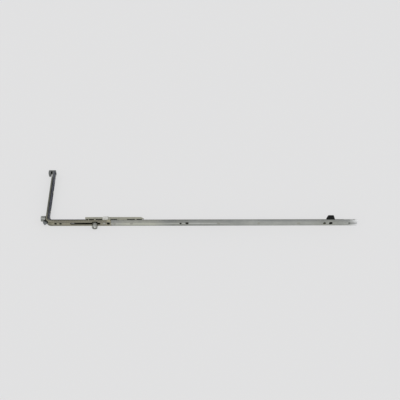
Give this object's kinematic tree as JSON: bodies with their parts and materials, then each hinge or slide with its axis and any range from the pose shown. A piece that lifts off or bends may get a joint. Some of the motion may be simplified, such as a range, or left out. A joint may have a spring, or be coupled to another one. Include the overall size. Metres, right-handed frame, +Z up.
{
  "type": "espagnolette bar",
  "caption": "Window espagnolette bar with a right-angled corner drive, roller cams, a sliding drive rod and an end clip.",
  "frame": {"origin": "under the middle of the whole fitting, on the surface that the faceplate's edge rests on", "axes": "+X along the bar away from the corner, +Y along the leg and into the sash, +Z up across the faceplate"},
  "size_m": [0.6334, 0.1474, 0.016],
  "materials": {
    "olive_zinc": "steel strip, zinc plated with an olive-yellow passivation",
    "silver_zinc": "steel strip, zinc plated with a clear passivation",
    "rod_zinc": "rolled steel rod, zinc plated, light rubbing marks",
    "dark_zinc": "steel, dark olive passivation, satin",
    "spring_steel": "blued spring steel, oiled",
    "dark_casting": "zinc casting, dark passivation, fine grain",
    "light_casting": "zinc casting, pale and matte",
    "rivet_steel": "cold-headed steel, zinc plated",
    "brass_sleeve": "turned brass",
    "splice_zinc": "folded steel, zinc plated with an olive passivation",
    "cam_steel": "hardened steel pin, dark passivation",
    "roller_steel": "turned steel, bright zinc",
    "black_plastic": "moulded black polyamide"
  },
  "bodies": {
    "frame": {"corner_faceplate": "olive_zinc", "long_faceplate": "silver_zinc", "corner_shoe": "dark_casting", "inner_guide": "spring_steel", "corner_stud": "dark_zinc", "outer_strip": "spring_steel", "inner_strip": "spring_steel", "corner_rivet": "rivet_steel", "leg_rivet": "rivet_steel", "leg_sleeve": "brass_sleeve", "guide_rivets": "rivet_steel", "guide_sleeves": "brass_sleeve", "coupling_block": "light_casting", "block_rivet": "rivet_steel", "splice_bar": "splice_zinc", "splice_rivets": "rivet_steel", "splice_sleeves": "brass_sleeve", "end_clip": "black_plastic", "clip_bush": "black_plastic"},
    "drive": {"drive_rod": "rod_zinc", "rod_strip_rivet": "rivet_steel"},
    "main_cam": {"main_cam_pin": "cam_steel"},
    "main_roller": {"main_cam_roller": "roller_steel"},
    "slide": {"leg_slide": "dark_zinc", "slide_strip_rivet": "rivet_steel", "coupling_lug": "dark_casting", "lug_rivets": "rivet_steel"},
    "leg_cam": {"leg_cam_pin": "cam_steel"},
    "leg_roller": {"leg_cam_roller": "roller_steel"}
  },
  "joints": [
    {"name": "drive_slide", "type": "slide", "parent": "frame", "child": "drive", "axis": [1, 0, 0], "range_m": [-0.04, 0], "deforming": ["outer_strip", "inner_strip"]},
    {"name": "leg_slide_travel", "type": "slide", "parent": "frame", "child": "slide", "axis": [0, 1, 0], "range_m": [0, 0.04]},
    {"name": "main_cam_adjust", "type": "hinge", "parent": "drive", "child": "main_cam", "pos_m": [-0.20815, -0.06325, 0.008], "axis": [0, -1, 0], "range_deg": [-90, 90]},
    {"name": "main_roller_spin", "type": "hinge", "parent": "main_cam", "child": "main_roller", "pos_m": [-0.20735, -0.06875, 0.008], "axis": [0, -1, 0], "continuous": true},
    {"name": "leg_cam_adjust", "type": "hinge", "parent": "slide", "child": "leg_cam", "pos_m": [-0.30615, -0.04995, 0.008], "axis": [-1, 0, 0], "range_deg": [-90, 90]},
    {"name": "leg_roller_spin", "type": "hinge", "parent": "leg_cam", "child": "leg_roller", "pos_m": [-0.31165, -0.05075, 0.008], "axis": [-1, 0, 0], "continuous": true}
  ],
  "couplings": [
    {"joint": "leg_slide_travel", "follows": "drive_slide", "ratio": -1}
  ]
}
